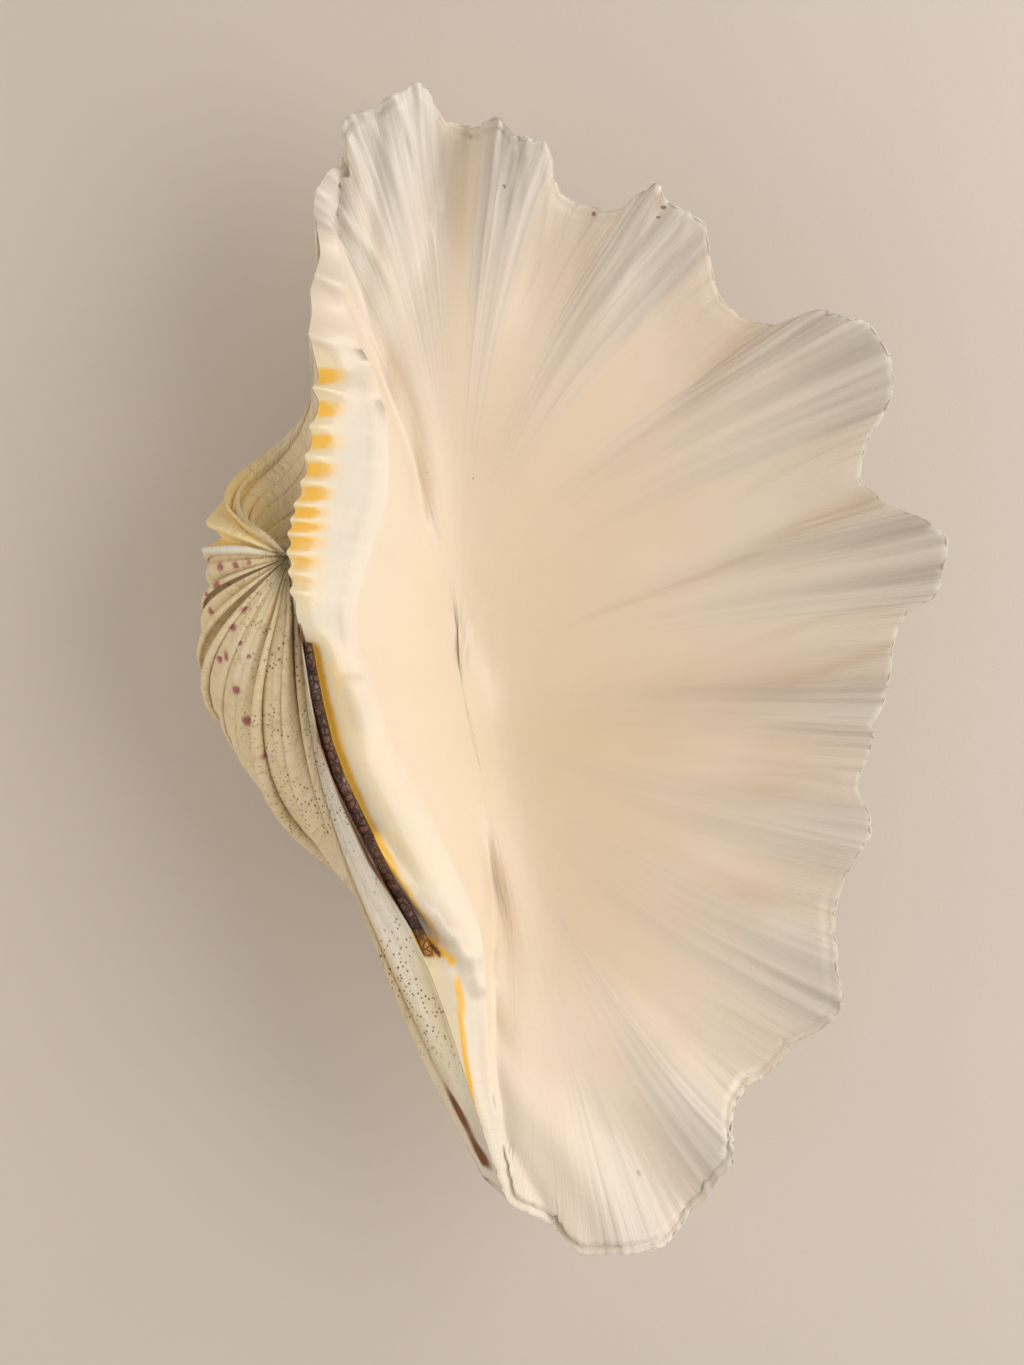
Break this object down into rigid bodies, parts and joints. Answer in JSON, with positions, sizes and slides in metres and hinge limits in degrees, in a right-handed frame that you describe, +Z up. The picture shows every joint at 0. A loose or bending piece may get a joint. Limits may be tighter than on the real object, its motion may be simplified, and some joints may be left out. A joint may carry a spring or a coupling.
{
  "type": "giant clam shell valve",
  "caption": "Single valve of a giant clam: a deep ribbed bowl with a wavy folded margin, coiled beak, toothed hinge plate and dried ligament, lying hollow side up.",
  "frame": {"origin": "middle of the valve's footprint, on the surface that it rests on", "axes": "+Z up out of the hollow, +Y toward the valve's front end along its length, +X toward the folded lower margin, away from the hinge"},
  "size_m": [0.19, 0.2904, 0.09],
  "materials": {
    "shell_lime": "satin",
    "ligament_horn": "matte"
  },
  "bodies": {
    "root": {"shell": "shell_lime", "ligament": "ligament_horn"}
  },
  "joints": []
}
